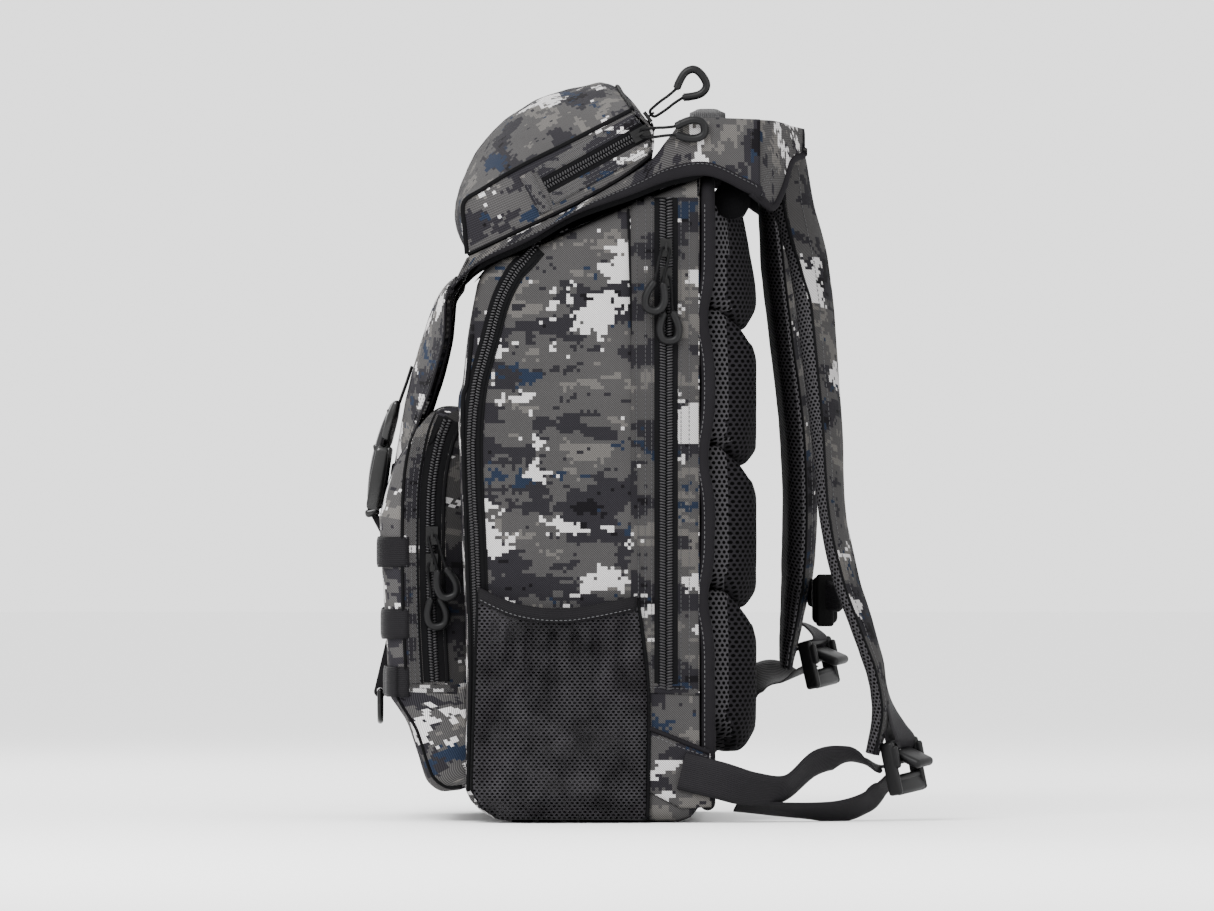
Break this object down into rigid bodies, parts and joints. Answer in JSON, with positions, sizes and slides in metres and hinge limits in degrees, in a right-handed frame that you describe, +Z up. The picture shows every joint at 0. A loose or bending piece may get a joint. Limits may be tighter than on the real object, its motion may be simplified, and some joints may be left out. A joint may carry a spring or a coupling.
{
  "type": "tackle backpack",
  "caption": "Camouflage tackle backpack with a buckled lid, hooded lid pocket, front pocket, mesh side pockets, padded back and shoulder straps.",
  "frame": {"origin": "middle of the flat base, on the surface it stands on", "axes": "+Z up, -Y the front with the pocket and buckle, +Y the wearer's back, +X the side with the zip pulls"},
  "size_m": [0.339, 0.3736, 0.4997],
  "materials": {
    "camo_fabric": "woven polyester, digital camouflage print",
    "dark_fabric": "woven polyester, dark grey",
    "back_mesh": "padded spacer mesh",
    "pocket_mesh": "open warp-knit mesh",
    "webbing": "ribbed polypropylene webbing",
    "zip": "coil zip tape",
    "board": "polyethylene sheet",
    "buckle_plastic": "moulded acetal",
    "black_metal": "black lacquered zinc",
    "cord": "braided cord",
    "grip_rubber": "soft moulded rubber"
  },
  "bodies": {
    "pack": {"back_binding": "dark_fabric", "back_pads": "back_mesh", "back_panel": "dark_fabric", "base_board": "board", "base_panel": "dark_fabric", "buckle_socket": "buckle_plastic", "divider": "dark_fabric", "frame_sheet": "board", "front_panel": "camo_fabric", "front_pocket_face": "camo_fabric", "front_pocket_gusset": "dark_fabric", "front_zip": "zip", "ladder_lock_left": "buckle_plastic", "ladder_lock_right": "buckle_plastic", "main_zip": "zip", "molle_rows": "webbing", "pocket_bands": "webbing", "rear_gussets": "camo_fabric", "rear_zip": "zip", "shoulder_strap_left": "camo_fabric", "shoulder_strap_right": "camo_fabric", "side_panel_left": "camo_fabric", "side_panel_right": "camo_fabric", "side_pocket_left": "pocket_mesh", "side_pocket_right": "pocket_mesh", "sternum_buckle": "buckle_plastic", "sternum_strap": "webbing", "strap_web_left": "webbing", "strap_web_right": "webbing", "strap_wings": "camo_fabric", "top_panel": "camo_fabric", "web_tabs": "webbing", "yoke": "camo_fabric"},
    "lid": {"lid_flap": "camo_fabric", "hood_shell": "camo_fabric", "hood_zip": "zip", "tongue": "camo_fabric", "carry_handle": "webbing", "buckle_plug": "buckle_plastic"},
    "d_ring": {"d_ring": "black_metal"},
    "main_slider_right": {"main_slider_right": "black_metal"},
    "main_slider_left": {"main_slider_left": "black_metal"},
    "rear_upper_pull": {"rear_upper_slider": "black_metal", "rear_upper_cord": "cord", "rear_upper_grip": "grip_rubber"},
    "rear_lower_pull": {"rear_lower_slider": "black_metal", "rear_lower_cord": "cord", "rear_lower_grip": "grip_rubber"},
    "front_upper_pull": {"front_upper_slider": "black_metal", "front_upper_cord": "cord", "front_upper_grip": "grip_rubber"},
    "front_lower_pull": {"front_lower_slider": "black_metal", "front_lower_cord": "cord", "front_lower_grip": "grip_rubber"},
    "hood_side_pull": {"hood_side_slider": "black_metal", "hood_side_cord": "cord", "hood_side_grip": "grip_rubber"},
    "hood_rear_pull": {"hood_rear_slider": "black_metal", "hood_rear_cord": "cord", "hood_rear_grip": "grip_rubber"}
  },
  "joints": [
    {"name": "lid_hinge", "type": "hinge", "parent": "pack", "child": "lid", "pos_m": [0, 0.104, 0.4625], "axis": [-1, 0, 0], "range_deg": [0, 115]},
    {"name": "d_ring_swing", "type": "hinge", "parent": "pack", "child": "d_ring", "pos_m": [0, -0.141, 0.084], "axis": [1, 0, 0], "range_deg": [-105, 12]},
    {"name": "rear_upper_zip", "type": "slide", "parent": "pack", "child": "rear_upper_pull", "axis": [0, 0, 1], "range_m": [0, 0.022]},
    {"name": "rear_lower_zip", "type": "slide", "parent": "pack", "child": "rear_lower_pull", "axis": [0, 0, -1], "range_m": [0, 0.245]},
    {"name": "front_upper_zip", "type": "slide", "parent": "pack", "child": "front_upper_pull", "axis": [0, 0, 1], "range_m": [0, 0.056]},
    {"name": "front_lower_zip", "type": "slide", "parent": "pack", "child": "front_lower_pull", "axis": [0, 0, -1], "range_m": [0, 0.06]},
    {"name": "hood_side_zip", "type": "slide", "parent": "lid", "child": "hood_side_pull", "axis": [0, -0.8784, -0.4779], "range_m": [0, 0.066]},
    {"name": "hood_rear_zip", "type": "slide", "parent": "lid", "child": "hood_rear_pull", "axis": [-1, 0, 0], "range_m": [0, 0.262]},
    {"name": "main_right_zip", "type": "slide", "parent": "pack", "child": "main_slider_right", "axis": [1, 0, 0], "range_m": [0, 0.122]},
    {"name": "main_left_zip", "type": "slide", "parent": "pack", "child": "main_slider_left", "axis": [-1, 0, 0], "range_m": [0, 0.122]}
  ]
}
